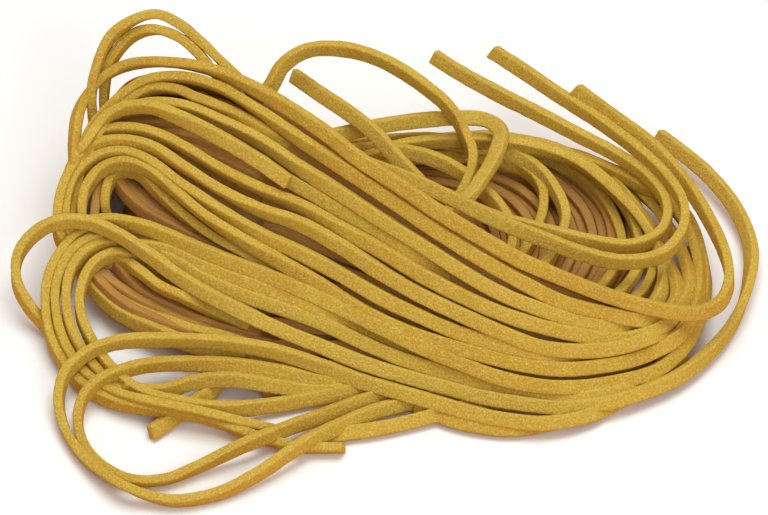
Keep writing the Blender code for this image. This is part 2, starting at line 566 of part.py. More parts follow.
def keep_outer_body(nest):
    """Fills the hollows that the union sealed and drops loose scraps: the largest shell stays."""
    shape = bmesh.new()
    shape.from_mesh(nest.data)
    bmesh.ops.triangulate(shape, faces=shape.faces)
    waiting = set(shape.faces)
    shells = []
    while waiting:
        front = [waiting.pop()]
        shell = list(front)
        while front:
            for edge in front.pop().edges:
                for face in edge.link_faces:
                    if face in waiting:
                        waiting.remove(face)
                        front.append(face)
                        shell.append(face)
        shells.append(shell)
    shells.sort(key=signed_volume, reverse=True)
    for shell in shells[1:]:
        bmesh.ops.delete(shape, geom=shell, context="FACES")
    bmesh.ops.delete(shape, geom=[v for v in shape.verts if not v.link_faces], context="VERTS")
    shape.to_mesh(nest.data)
    shape.free()
    nest.data.shade_flat()


def noodle_material():
    material = bpy.data.materials.new("dry_pasta")
    material.use_nodes = True
    shader = material.node_tree.nodes["Principled BSDF"]
    shader.inputs["Base Color"].default_value = NOODLE_COLOUR
    shader.inputs["Roughness"].default_value = NOODLE_ROUGHNESS
    shader.inputs["Metallic"].default_value = 0.0
    return material


def main():
    clear_scene()
    model = bpy.data.collections.new("dry_pasta_nest")
    noodles = bpy.data.collections.new("noodles")
    bpy.context.scene.collection.children.link(model)
    bpy.context.scene.collection.children.link(noodles)
    nest = make_core(model)
    make_noodles(noodles)
    fuse(nest, noodles)
    keep_outer_body(nest)
    nest.name = "pasta_nest"
    nest.data.materials.clear()
    nest.data.materials.append(noodle_material())
    print("nest size in metres:", [round(side, 4) for side in nest.dimensions])
    print("nest triangles:", len(nest.data.polygons))


main()
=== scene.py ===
# %% [markdown]
# # A dry pasta nest
#
# The object is one loosely wound skein of stiff ribbon noodles. A high bundle leans across the front,
# its left end opens into loops, its right end turns back round a hollow, and a few cut ends stick out.
# The solid that carries it is already made. This script loads that solid as a fixed frame
# and lays a real noodle along every route, at the same place and of the same size.

# %% Load the imported nest
import math
import random

import bpy
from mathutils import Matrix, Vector, noise


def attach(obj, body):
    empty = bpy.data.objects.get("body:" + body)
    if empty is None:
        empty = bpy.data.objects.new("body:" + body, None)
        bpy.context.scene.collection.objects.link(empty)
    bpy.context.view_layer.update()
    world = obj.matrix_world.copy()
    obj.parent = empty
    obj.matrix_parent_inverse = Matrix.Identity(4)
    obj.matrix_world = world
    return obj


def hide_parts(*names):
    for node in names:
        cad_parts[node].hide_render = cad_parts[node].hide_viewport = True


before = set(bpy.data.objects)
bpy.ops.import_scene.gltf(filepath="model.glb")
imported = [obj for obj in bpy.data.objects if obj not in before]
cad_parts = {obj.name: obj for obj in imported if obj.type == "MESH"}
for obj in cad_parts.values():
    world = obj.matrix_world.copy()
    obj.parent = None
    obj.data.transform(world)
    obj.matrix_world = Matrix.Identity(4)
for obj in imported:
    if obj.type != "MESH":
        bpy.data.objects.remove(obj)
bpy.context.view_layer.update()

# %% [markdown]
# ## Measures of the noodle
#
# Each noodle is a flat ribbon cut from a rolled sheet of dough: 2.5 mm wide and 1.6 mm thick. The knife
# leaves four long edges that drying rounds off a little. All lengths below are in millimetres and are
# turned into metres where a mesh or a curve is written.

# %% The noodle's measures
MM = 0.001
NOODLE_WIDTH = 2.5
NOODLE_THICK = 1.6
EDGE_ROUND = 0.32
EDGE_STEPS = 3
ALONG_STEP = 0.75
ACROSS_STEPS = 3
print("noodle section", NOODLE_WIDTH, "by", NOODLE_THICK, "mm")

# %% [markdown]
# ## From the picture to the table
#
# The routes are written as a maker reads them: where the noodle passes in a picture of the nest that
# looks down at 45 degrees, 6 pixels to a millimetre, and how high it lies there. One function turns
# such a point into a place in space. The last shift puts the middle of the nest over the origin.

# %% Points of the picture
VIEW_SCALE = 6.0
VIEW_CENTRE_U = 384.0
VIEW_CENTRE_V = 257.5
VIEW_ANGLE = math.radians(45.0)
VIEW_DISTANCE = 2400.0
NEST_SHIFT = Vector((-0.27, 10.36, 0.0))


def blend(a, b, share):
    return a + (b - a) * share


def place(u, v, height):
    """The point, in millimetres, that the picture shows at (u, v) and that lies at this height."""
    right = (u - VIEW_CENTRE_U) / VIEW_SCALE
    up = (VIEW_CENTRE_V - v) / VIEW_SCALE
    eye_y = -VIEW_DISTANCE * math.cos(VIEW_ANGLE)
    eye_z = VIEW_DISTANCE * math.sin(VIEW_ANGLE)
    plane_y = up * math.sin(VIEW_ANGLE)
    plane_z = up * math.cos(VIEW_ANGLE)
    reach = (eye_z - height) / (eye_z - plane_z)
    return Vector((reach * right, eye_y + reach * (plane_y - eye_y), height)) + NEST_SHIFT


print("the picture's middle lies at", [round(c, 2) for c in place(VIEW_CENTRE_U, VIEW_CENTRE_V, 0.0)])

# %% [markdown]
# ## The front face of the heap
#
# Most noodles lie on the sloping front of the bundle. A short table gives that slope at stations from
# left to right, and a point without a height takes its height from it. This keeps neighbours
# side by side, as they lie on the real nest, with one number for each noodle's lift above the slope.

# %% The slope, station by station: u, the crest's v and height, the foot's v and height
FRONT_FACE = [
    (60, 195, 14.0, 350, 2.5),
    (100, 84, 21.0, 396, 1.5),
    (150, 62, 26.0, 404, 1.5),
    (200, 66, 28.5, 405, 1.5),
    (250, 87, 29.0, 408, 1.5),
    (300, 115, 28.2, 401, 1.3),
    (350, 152, 27.0, 394, 1.3),
    (400, 186, 26.0, 400, 1.3),
    (450, 219, 24.0, 408, 1.3),
    (500, 248, 21.3, 419, 1.3),
    (550, 273, 18.0, 423, 1.3),
    (600, 293, 15.0, 411, 1.3),
    (650, 308, 12.0, 392, 1.4),
    (700, 313, 9.5, 364, 1.5),
    (750, 313, 6.0, 340, 1.5),
]


def read_stations(stations, u):
    """The row of a table at u, in straight steps between its stations."""
    if u <= stations[0][0]:
        return stations[0]
    for left, right in zip(stations, stations[1:]):
        if u <= right[0]:
            share = (u - left[0]) / (right[0] - left[0])
            return tuple(blend(a, b, share) for a, b in zip(left, right))
    return stations[-1]


def front_height(u, v):
    """Height of the heap's front face where the picture shows (u, v)."""
    _, crest_v, crest_z, foot_v, foot_z = read_stations(FRONT_FACE, u)
    share = (foot_v - v) / (foot_v - crest_v)
    return blend(foot_z, crest_z, min(1.0, max(0.0, share)))


def route_points(lift, route):
    points = []
    for spot in route:
        height = spot[2] if len(spot) == 3 else front_height(spot[0], spot[1]) + lift
        points.append(place(spot[0], spot[1], height))
    return points


print("the crest is highest at", max(row[2] for row in FRONT_FACE), "mm")

# %% [markdown]
# ## A smooth line through a few points
#
# A noodle dried while it was limp, so it has no corners, only bends. A centripetal spline passes
# through every given point without swinging out between close ones, which a plain cubic would do.

# %% The route as a fine line
ROUTE_SAMPLES = 12
CENTRIPETAL = 0.5


def rounded(points):
    ends = [points[0] * 2 - points[1]] + points + [points[-1] * 2 - points[-2]]
    path = []
    for p0, p1, p2, p3 in zip(ends, ends[1:], ends[2:], ends[3:]):
        t1 = (p1 - p0).length ** CENTRIPETAL
        t2 = t1 + (p2 - p1).length ** CENTRIPETAL
        t3 = t2 + (p3 - p2).length ** CENTRIPETAL
        for step in range(ROUTE_SAMPLES):
            t = blend(t1, t2, step / ROUTE_SAMPLES)
            a1 = p0 * ((t1 - t) / t1) + p1 * (t / t1)
            a2 = p1 * ((t2 - t) / (t2 - t1)) + p2 * ((t - t1) / (t2 - t1))
            a3 = p2 * ((t3 - t) / (t3 - t2)) + p3 * ((t - t2) / (t3 - t2))
            b1 = a1 * ((t2 - t) / t2) + a2 * (t / t2)
            b2 = a2 * ((t3 - t) / (t3 - t1)) + a3 * ((t - t1) / (t3 - t1))
            path.append(b1 * ((t2 - t) / (t2 - t1)) + b2 * ((t - t1) / (t2 - t1)))
    path.append(points[-1].copy())
    return path


def spread(values, share):
    """The value at a share of the way along an evenly spread list."""
    place_in = share * (len(values) - 1)
    first = min(int(place_in), len(values) - 2)
    return blend(values[first], values[first + 1], place_in - first)


def rest_height(lean):
    """Lowest height of a noodle's middle above the table at this lean."""
    turn = math.radians(lean)
    return abs(math.sin(turn)) * NOODLE_WIDTH / 2 + abs(math.cos(turn)) * NOODLE_THICK / 2


def route_curve(path, leans):
    """A curve object along the path, which leans as the noodle does; returns it and its length."""
    lengths = [0.0]
    for a, b in zip(path, path[1:]):
        lengths.append(lengths[-1] + (b - a).length)
    curve = bpy.data.curves.new("route", "CURVE")
    curve.dimensions = "3D"
    curve.twist_mode = "Z_UP"
    spline = curve.splines.new("POLY")
    spline.points.add(len(path) - 1)
    for point, spot, length in zip(spline.points, path, lengths):
        lean = spread(leans, length / lengths[-1])
        height = max(spot.z, rest_height(lean))
        point.co = (spot.x * MM, spot.y * MM, height * MM, 1.0)
        point.tilt = math.radians(lean)
    route = bpy.data.objects.new("route", curve)
    bpy.context.scene.collection.objects.link(route)
    return route, lengths[-1]


print("a bend is followed in", ROUTE_SAMPLES, "steps between two given points")

# %% [markdown]
# ## One straight ribbon, then bent
#
# A noodle could be swept along its route as a curve with a bevel. It is easier to give it life while
# it is still straight: a grid of the right length and width gets its thickness from Solidify and its
# rounded edges from Bevel, each end is cut a little askew, and the section swells and thins a little as
# a rolled dough does. A Curve modifier then bends the finished ribbon along its route. The straight
# place of every point is kept as an attribute, so the surface pattern can follow the noodle. Each
# noodle takes its pattern from a stretch of its own, so that no two are alike.

# %% A ribbon of uneven dough
UNEVEN_WIDTH = 0.07
UNEVEN_THICK = 0.08
SWELL_LENGTH = 9.0
NICK_DEPTH = 0.05
NICK_LENGTH = 1.3
CUT_SLANT = 0.35
NICK_ACROSS = 3
SHARP_EDGE = math.radians(60)
FEWEST_STEPS = 4
PATTERN_SPACING = 40.0
chance = random.Random(7)
made_count = 0


def straight_ribbon(length):
    """A closed ribbon along +X from the origin, in metres, square cut and with rounded edges."""
    bpy.ops.object.select_all(action="DESELECT")
    steps = max(FEWEST_STEPS, round(length / ALONG_STEP))
    bpy.ops.mesh.primitive_grid_add(x_subdivisions=steps, y_subdivisions=ACROSS_STEPS, size=1.0)
    ribbon = bpy.context.active_object
    ribbon.scale = (length * MM, NOODLE_WIDTH * MM, 1.0)
    ribbon.location = (length * MM / 2, 0.0, 0.0)
    bpy.ops.object.transform_apply(location=True, rotation=True, scale=True)
    skin = ribbon.modifiers.new("thickness", "SOLIDIFY")
    skin.thickness = NOODLE_THICK * MM
    skin.offset = 0.0
    edges = ribbon.modifiers.new("rounded edges", "BEVEL")
    edges.width = EDGE_ROUND * MM
    edges.segments = EDGE_STEPS
    edges.limit_method = "ANGLE"
    edges.angle_limit = SHARP_EDGE
    bpy.ops.object.modifier_apply(modifier="thickness")
    bpy.ops.object.modifier_apply(modifier="rounded edges")
    return ribbon


def make_uneven(ribbon, length):
    """Gives the ribbon its own swells, nicks and slanted cuts, and keeps its straight places."""
    global made_count
    made_count += 1
    start = made_count * PATTERN_SPACING
    slants = [chance.uniform(-CUT_SLANT, CUT_SLANT) for _ in range(2)]
    tint = chance.random()
    mesh = ribbon.data
    straight = mesh.attributes.new("ribbon", "FLOAT_VECTOR", "POINT")
    tints = mesh.attributes.new("tint", "FLOAT", "POINT")
    for index, vertex in enumerate(mesh.vertices):
        x, y, z = vertex.co / MM
        straight.data[index].vector = (x + start, y, z)
        tints.data[index].value = tint
        at_end = 1.0 - min(1.0, min(x, length - x) / NOODLE_WIDTH)
        slant = slants[0] if x < length / 2 else slants[1]
        swell = noise.noise(Vector((x / SWELL_LENGTH, start, 0.0)))
        press = noise.noise(Vector((x / SWELL_LENGTH, 0.0, start)))
        nick = noise.noise(Vector((x / NICK_LENGTH + start, y * NICK_ACROSS, z * NICK_ACROSS)))
        y_new = y * (1 + UNEVEN_WIDTH * swell) * (1 + NICK_DEPTH * nick)
        z_new = z * (1 + UNEVEN_THICK * press) * (1 + NICK_DEPTH * nick)
        vertex.co = Vector((x + y * slant * at_end, y_new, z_new)) * MM


def bent_noodle(name, lift, leans, route):
    return noodle_along(name, leans, route_points(lift, route))


def noodle_along(name, leans, points):
    """One finished noodle: a straight uneven ribbon, bent along the points' smooth line."""
    curve, length = route_curve(rounded(points), leans)
    noodle = straight_ribbon(length)
    make_uneven(noodle, length)
    bend = noodle.modifiers.new("bend", "CURVE")
    bend.object = curve
    bend.deform_axis = "POS_X"
    bpy.ops.object.modifier_apply(modifier="bend")
    bpy.data.objects.remove(curve)
    noodle.name = name
    noodle.data.name = name
    bpy.ops.object.shade_smooth()
    return noodle


def join_noodles(name, noodles):
    """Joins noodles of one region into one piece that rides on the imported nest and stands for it."""
    bpy.ops.object.select_all(action="DESELECT")
    for noodle in noodles:
        noodle.select_set(True)
    bpy.context.view_layer.objects.active = noodles[0]
    bpy.ops.object.join()
    piece = bpy.context.active_object
    piece.name = name
    piece.data.name = name
    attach(piece, "root")
    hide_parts("pasta_nest")
    count = sum(len(face.vertices) - 2 for face in piece.data.polygons)
    print(name, "noodles:", len(noodles), "triangles:", count)
    return piece


def make_piece(name, routes):
    return join_noodles(name, [bent_noodle(key, *route) for key, route in routes.items()])


# %% [markdown]
# ## The arches at the top left
#
# Two noodles spring high over the left end of the bundle and a third passes low under them. They
# stand on edge, so from the front they show mostly their narrow side. Each route gives the lift, the
# lean at even steps, and the points. A lean of 0 lies flat and 90 stands on edge. At 45 a noodle drawn
# from left to right turns its broad side to the front and up, and one drawn the other way does so at 135.

# %% Arches
ARCHES = {
    "tall_arch": (0.0, (85, 90, 105, 135, 130, 110, 90), [
        (99, 155, 11.0), (92, 108, 17.5), (94, 78, 22.0), (109, 40, 27.0), (132, 21, 30.0),
        (156, 14, 31.0), (178, 23, 30.5), (200, 41, 29.0), (225, 65, 27.5), (250, 90, 25.5),
        (285, 118, 23.0)]),
    "inner_arch": (0.0, (85, 90, 105, 135, 125, 100, 80), [
        (106, 140, 12.5), (104, 98, 18.0), (110, 64, 23.0), (131, 37, 27.0), (155, 29.5, 29.0),
        (180, 38, 29.0), (198, 53, 28.0), (215, 73, 26.3), (234, 93, 24.3), (268, 131, 21.5)]),
    "low_arch": (-0.6, (90, 110, 130, 75, 55), [
        (100, 135, 15.0), (114, 115), (131, 101), (152, 89), (178, 90), (200, 99), (230, 113),
        (262, 131), (300, 156, 21.0)]),
}

arches = make_piece("top_arches", ARCHES)

# %% [markdown]
# ## The front bundle
#
# These are the broad, parallel noodles that cross the picture from the upper left to the lower right.
# Most of them swing round the right end and run back behind, so their routes go on into the ring.

# %% Front bundle
FRONT_BUNDLE = {
    "crest": (0.6, (90, 125, 130, 75, 55, 55, 55, 65, 100, 118, 122), [
        (69, 204, 9.5), (71, 184, 12.0), (74, 163), (74.5, 138), (80, 108), (96, 84), (120, 68),
        (150, 62), (185, 64), (215, 71),
        (245, 84), (280, 103), (320, 129), (360, 160), (400, 186), (440, 213), (480, 237),
        (520, 260), (560, 277), (600, 293), (640, 305), (680, 313), (703, 312, 9.5),
        (720, 303, 9.2), (729, 283, 9.0), (726, 258, 9.0), (709, 220, 9.5), (683, 180, 10.5),
        (650, 144.5, 12.0), (617, 120, 13.0), (575, 89, 14.0)]),
    "second": (0.0, (90, 125, 115, 60, 50, 50, 50, 55, 85, 90), [
        (66, 196, 10.5), (70, 176, 13.0), (78, 156), (92, 127), (120, 97), (146, 81), (175, 77),
        (200, 80.5), (225, 90), (262, 113),
        (305, 143), (350, 172), (400, 206), (440, 233), (480, 258), (520, 281), (560, 301),
        (600, 312), (640, 320), (663, 316, 8.5), (677, 300, 7.5), (676, 280, 7.2),
        (664, 256, 7.0), (647, 222, 6.4), (622, 190, 5.6), (585, 164, 5.0), (545, 151, 5.0),
        (500, 147, 5.0), (455, 148, 5.0), (420, 154, 5.2)]),
    "third": (-0.3, (115, 100, 60, 50, 50, 50, 60, 90, 90), [
        (118, 112), (150, 104), (185, 107), (220, 121), (260, 141), (300, 168), (340, 193),
        (380, 219), (420, 244), (460, 270), (500, 293), (540, 309), (580, 321), (618, 327),
        (645, 316, 8.0), (661, 293, 7.4), (665, 270, 7.0), (658, 246, 8.6), (640, 216, 9.0),
        (612, 188, 9.0), (575, 161, 9.2), (540, 149, 9.6), (505, 143.5, 10.2),
        (465, 141, 10.8), (430, 142, 11.4), (395, 148, 12.0), (362, 160, 12.6)]),
    "cut_front": (1.2, (90, 110, 95, 60, 50), [
        (67, 190, 10.5), (73, 170, 13.0), (84, 147), (99, 125), (120, 110), (150, 107), (180, 118),
        (220, 138), (260, 162),
        (289, 182.5)]),
    "shaded": (-1.0, (50, 50), [
        (262, 166), (300, 187), (340, 210), (380, 232), (415, 254), (450, 276, 14.8), (490, 298, 12.9),
        (530, 314.5, 11.2)]),
    "fourth": (0.0, (90, 105, 110, 60, 50, 50, 50, 60, 90, 90), [
        (70, 186), (85, 152), (102, 134), (130, 129.5), (160, 136), (190, 151), (220, 169),
        (260, 189), (300, 206), (340, 228), (380, 250), (420, 274), (460, 295), (500, 313),
        (540, 326), (580, 335), (620, 339), (655, 330), (680, 308, 7.0), (690, 285, 6.5),
        (684, 258, 6.3), (670, 228, 5.4), (648, 200, 4.4), (618, 177, 3.6), (580, 158, 3.0),
        (540, 151, 2.8), (500, 149, 2.6), (455, 151, 2.6)]),
    "fifth": (0.4, (70, 80, 85, 90, 90, 115, 75, 50, 50, 50, 50, 55), [
        (305, 366, 2.4), (262, 350, 3.8), (225, 338, 5.3), (190, 330, 4.8), (150, 313, 4.6),
        (110, 290, 5.0), (84, 268, 6.5),
        (66, 250, 8.0), (58, 225), (61, 195), (73, 168), (88, 149), (114, 142), (150, 147),
        (185, 168), (220, 190), (260, 210), (300, 224), (340, 246), (380, 272), (420, 295),
        (460, 314), (500, 332), (540, 347), (580, 351), (620, 347), (650, 337),
        (682, 320, 5.2), (698, 298, 3.8), (701, 274, 2.3), (692, 248, 1.3)]),
    "sixth": (0.0, (90, 90, 115, 75, 50, 50, 50, 55), [
        (78, 252, 6.5), (66, 226), (67, 200), (77, 175), (97, 158), (123, 153), (152, 163),
        (185, 187), (220, 211), (260, 235), (300, 253), (340, 274), (380, 297), (420, 316),
        (460, 333), (500, 345), (545, 354), (585, 359.5, 6.3), (620, 356.5, 5.7), (655, 347, 5.5)]),
    "eye_rim": (0.0, (90, 90, 110, 65, 50, 50, 50, 55, 70, 90, 95), [
        (92, 244, 7.5), (82, 216), (86, 190), (102, 170), (127, 163.5), (152, 172), (176, 192),
        (205, 216), (240, 239), (280, 262), (320, 285), (360, 310), (400, 329), (440, 343),
        (480, 354), (520, 364), (560, 369), (600, 366), (640, 357), (675, 339),
        (693, 315, 5.6), (700, 290, 5.2), (699, 262, 5.2), (687, 228, 5.6), (669, 204, 6.2),
        (645, 188, 6.6), (618, 174, 6.9), (592, 163, 7.1), (560, 154, 7.1), (520, 149, 7.0)]),
    "eye_depth": (-2.0, (90, 90, 120, 130), [
        (108, 226, 8.0), (105, 202), (110, 182), (122, 171), (138, 173), (162, 196), (188, 219),
        (215, 238), (250, 257), (290, 280)]),
    "seventh": (0.0, (100, 65, 50, 50, 50, 50, 60, 90, 100, 100), [
        (90, 222), (112, 221), (150, 229), (190, 246), (230, 262), (270, 277), (310, 294),
        (350, 313), (390, 332), (430, 351), (470, 367), (500, 378), (540, 386), (580, 387),
        (620, 381), (655, 371), (683, 347, 4.6), (699, 318, 3.8), (706, 285, 3.6),
        (701, 250, 3.6), (686, 216, 4.4), (665, 197, 4.8), (640, 183, 4.8), (612, 171, 4.8),
        (585, 161, 4.8), (550, 152, 4.8), (510, 148, 4.8)]),
    "eighth": (-0.6, (60, 50, 50), [
        (135, 246), (165, 250), (200, 266), (240, 281), (280, 294), (325, 312), (360, 331, 6.4),
        (400, 349, 5.3), (440, 364, 4.4)]),
    "ninth": (-0.9, (60, 50, 50, 50), [
        (160, 256), (180, 264), (200, 277), (240, 294), (280, 308), (320, 322), (360, 341),
        (400, 358), (440, 371), (480, 384), (515, 392), (550, 396.5, 3.4), (585, 397, 3.3),
        (620, 391, 3.0), (655, 377, 2.2), (688, 358, 1.5)]),
}

front_bundle = make_piece("front_bundle", FRONT_BUNDLE)

# %% [markdown]
# ## The loops at the left
#
# The bundle opens here into a wide ring of four noodles, a far loop that leans out to the left and
# two loops that lie on the table in front.

# %% Left loops
LEFT_LOOPS = {
    "far_loop": (0.0, (90, 90, 90, 75, 45, 50, 50, 50, 55, 85, 125, 125, 120), [
        (72, 356, 1.5), (48, 328, 2.4), (30, 308, 4.0), (17, 283, 6.5), (18, 257, 9.0),
        (35, 234, 11.5), (60, 222, 13.6), (90, 223, 13.4), (120, 236, 12.6), (150, 256, 12.0),
        (180, 278), (210, 296), (240, 311), (280, 330), (320, 346), (360, 362), (400, 375),
        (440, 386), (480, 396.5), (520, 403.5), (560, 407.5, 2.4), (600, 404, 2.9),
        (640, 393.5, 2.7), (680, 376, 2.5), (712, 350, 2.4), (735, 320, 2.4), (749, 280, 2.4),
        (750, 245, 2.6), (735, 208, 3.2), (706, 173, 3.6), (682, 153, 3.4), (658, 135, 3.0)]),
    "front_loop": (0.3, (-50, -50, -50, -60, -90, -90, -75, -52, -85, -115, -125), [
        (668, 366, 1.3), (640, 388, 1.4), (605, 408.5, 1.6), (580, 418, 2.2), (540, 423.5, 2.6),
        (500, 419, 2.8), (480, 415, 3.0),
        (440, 404, 3.2), (400, 392.5, 3.6), (360, 381), (320, 366), (280, 353), (240, 345),
        (200, 341), (160, 340), (120, 342, 6.8), (90, 352, 6.0), (67, 372, 4.6), (59, 398, 2.8),
        (64, 426, 1.6), (80, 453, 1.4), (103, 473, 2.4), (125, 486, 3.2), (150, 496, 2.0),
        (180, 501, 1.4), (220, 493, 1.5), (260, 473, 2.4), (300, 446, 3.4), (340, 426, 2.6),
        (380, 410, 1.6), (415, 402, 1.4), (450, 392, 1.3)]),
    "inner_loop": (0.0, (-50, -50, -60, -90, -90, -65, -60, -95, -120, -130), [
        (405, 386, 1.3), (375, 388, 1.4), (345, 386, 1.9), (320, 382), (280, 372), (240, 366), (200, 364),
        (160, 364), (130, 369, 5.0), (102, 380, 4.6), (84, 397, 3.2), (78, 420, 1.8),
        (85, 446, 1.4), (104, 467, 1.4), (130, 480, 1.4), (160, 480.5, 1.4), (200, 466, 1.9),
        (240, 447, 3.4), (280, 431, 3.2), (320, 417, 2.0), (360, 402, 1.5), (395, 392, 1.3)]),
    "mid_lane": (0.0, (90, 60, 50), [
        (122, 386, 3.8), (142, 391), (165, 391), (195, 382), (230, 379.5), (270, 385),
        (312, 391, 2.0), (345, 390, 1.5), (378, 384, 1.3)]),
    "ring_outer": (0.0, (55, 60, 70, 90, 90, 90, 90), [
        (344, 448, 1.4), (300, 447, 1.5), (255, 436, 1.6), (205, 418, 2.6), (150, 409, 2.8),
        (112, 401, 2.2), (82, 385, 2.0), (61, 360, 2.4), (49, 332, 3.6), (45.5, 300, 5.8),
        (50, 275, 7.8), (66, 247, 9.8), (85, 232, 10.6), (112, 238, 9.5)]),
    "ring_second": (0.0, (60, 60, 80, 90, 90, 90, 90), [
        (275, 430, 1.8), (240, 422, 2.8), (200, 412, 4.2), (150, 403, 4.0), (115, 394, 3.0),
        (86, 376, 2.6), (67, 350, 3.4), (57, 320, 5.0), (56, 290, 6.8), (67, 260, 9.0),
        (85, 243, 10.2), (108, 236, 10.2), (132, 244, 9.0)]),
    "ring_third": (0.0, (70, 90, 90, 90, 90), [
        (175, 402, 2.0), (140, 396, 2.2), (110, 384, 2.6), (88, 360, 3.6), (72, 332, 5.0),
        (66, 300, 6.8), (72, 270, 8.4), (90, 250, 9.6), (115, 243, 9.6), (142, 250, 8.6)]),
    "ring_inner": (0.0, (80, 90, 90, 90, 75, 60, 55), [
        (160, 272, 7.5), (138, 258, 8.6), (112, 255, 9.2), (92, 267, 8.6), (80.5, 292, 7.2),
        (81, 317, 6.0), (93, 344, 4.8), (112, 370, 4.0), (140, 392, 3.4), (178, 403, 3.6),
        (225, 409, 2.8), (275, 405, 1.9), (325, 396, 1.5), (352, 391, 1.4),
        (390, 384, 1.3)]),
    "low_cut": (0.0, (60, 60), [
        (150, 435, 1.0), (168, 424, 1.0), (190, 408, 1.2), (214, 388, 1.6), (232, 366, 2.6)]),
    "under_front": (0.0, (40, 45), [
        (318, 438, 1.3), (345, 434, 1.3), (380, 429, 1.3), (420, 420, 1.3), (448, 412, 1.3),
        (485, 402, 1.3)]),
    "under_foot": (0.0, (40, 45), [
        (415, 406, 1.2), (448, 420, 1.2), (480, 427.5, 1.2), (512, 430, 1.2), (545, 426, 1.2),
        (580, 412, 1.2), (612, 396, 1.2)]),
    "eye_floor": (-1.0, (85, 70, 60), [
        (76, 262, 6.5), (90, 285, 5.0), (118, 312, 4.2), (155, 331, 4.6), (200, 348, 4.6),
        (245, 361, 3.2)]),
    "eye_upper": (-1.2, (90, 110, 120), [
        (100, 262, 7.0), (122, 262, 7.6), (140, 272), (160, 287), (185, 298), (222, 316, 5.8),
        (256, 332, 3.6)]),
}

left_loops = make_piece("left_loops", LEFT_LOOPS)

# %% [markdown]
# ## The turned-back ends at the right
#
# Two noodles come in from cut ends at the upper right, turn back in a hairpin and run down over the
# crest. An arch and one more cut end stand up behind the crest.

# %% Hairpins, back arch and cut end
TURN_BACKS = {
    "outer_hairpin": (0.0, (60, 75, 90, 90, 90, 105, 128, 135, 135), [
        (492, 51, 13.0), (520, 69, 12.5), (560, 96, 12.3), (600, 122, 12.3), (640, 152, 12.3),
        (668, 179, 12.2), (684, 207, 12.0), (681, 235, 12.0), (660, 256, 12.4), (620, 262, 13.5),
        (580, 253, 15.0), (540, 238, 16.8), (500, 222, 18.8), (460, 203, 20.8),
        (425, 186, 22.0), (395, 174, 22.4), (365, 163, 22.4), (335, 148, 22.4)]),
    "inner_hairpin": (0.0, (60, 75, 90, 90, 95, 118, 130), [
        (433, 56, 14.0), (460, 73, 13.0), (500, 95, 12.0), (540, 115, 11.2), (580, 136, 10.6),
        (620, 157, 10.2), (650, 179, 10.0), (667, 206, 9.8), (662, 232, 9.8), (634, 246, 10.4),
        (595, 243, 11.6), (555, 234, 13.0), (525, 226.5, 13.6), (495, 218, 14.2), (462, 204, 15.0),
        (430, 190, 16.0)]),
    "back_arch": (0.0, (60, 80, 90, 90, 90, 100, 110), [
        (255, 104, 19.0), (270, 88, 21.0), (283, 66, 23.5), (306, 51, 25.0), (335, 48.5, 25.0),
        (365, 54, 24.0), (395, 67, 22.5), (425, 87, 20.5), (449, 108, 17.8), (463, 131, 14.5),
        (473, 155, 12.6), (469, 180, 12.6), (457, 201, 12.6), (438, 216, 12.2),
        (416, 226, 11.6)]),
    "back_cut": (0.0, (55, 55), [
        (293, 75, 18.0), (320, 94, 18.2), (350, 114, 18.6), (375, 134, 18.6), (398, 160, 19.0),
        (416, 179, 18.2), (434, 199, 15.6)]),
}

turn_backs = make_piece("turned_back_ends", TURN_BACKS)

# %% [markdown]
# ## The hollow and the winding behind the crest
#
# Behind the crest the nest is wound lane over lane. From the front only the part that lines the
# hollow at the right shows, so the rest is worked out by rule: each lane turns under the left loops,
# climbs behind the crest and, if it is named, runs on into a noodle of the hollow.

# %% Noodles of the hollow
HOLLOW_TURNS = {
    "kinked": (0.0, (60, 60, 65, 40, 20, 20), [
        (338, 135, 15.0), (380, 126, 15.0), (420, 120.5, 14.8),
        (460, 118, 14.2), (486, 120, 13.8), (500, 130, 13.6), (496, 154, 14.2),
        (482, 179, 15.4), (468, 197, 15.8), (450, 211, 15.4), (430, 222, 14.6)]),
    "wall_low": (0.0, (60, 60, 80, 90), [
        (395, 141, 10.2), (430, 140, 10.2), (465, 145, 9.6), (505, 152, 8.6),
        (535, 168, 7.6), (556, 192, 6.8), (565, 217, 6.4), (558, 244, 6.6), (540, 272, 7.6),
        (512, 300, 8.0)]),
    "wall_inner": (0.0, (60, 70, 85), [
        (405, 152, 13.0), (445, 164, 12.6), (480, 188, 11.8),
        (503, 213, 11.0), (512, 236, 11.0), (506, 260, 11.6), (482, 277, 12.0)]),
    "hollow_first": (0.0, (60, 90, 90), [
        (430, 157, 7.6), (475, 155, 7.4), (505, 161, 7.0), (528, 172, 6.2), (542, 190, 5.6),
        (543, 212, 5.2), (534, 236, 5.4), (516, 264, 6.4),
        (484, 294, 6.6)]),
    "hollow_low": (0.0, (60, 90, 90), [
        (425, 150, 5.2), (470, 143, 5.2), (515, 146, 5.2), (555, 161, 4.8), (593, 188, 4.4),
        (615, 220, 4.4), (622, 250, 4.8), (610, 278, 6.0), (590, 300, 7.0), (562, 318, 7.0)]),
    "hollow_high": (0.0, (60, 85, 90, 90), [
        (440, 142, 8.0), (485, 138, 8.0), (525, 143, 8.0), (560, 152, 7.6), (600, 177, 7.2),
        (627, 208, 6.8), (638, 236, 6.6), (640, 262, 6.8), (630, 283, 7.4), (606, 305, 8.2),
        (576, 320, 8.0)]),
    "hollow_outer": (0.0, (60, 85, 90, 90), [
        (420, 143, 2.6), (465, 139, 2.6), (510, 142, 2.6), (550, 151, 2.6), (590, 165, 2.6),
        (622, 188, 2.8), (642, 218, 3.2), (650, 245, 4.0), (653, 270, 5.0), (645, 290, 6.0),
        (620, 313, 7.2), (592, 326, 7.0)]),
}

print("noodles in the hollow:", len(HOLLOW_TURNS))

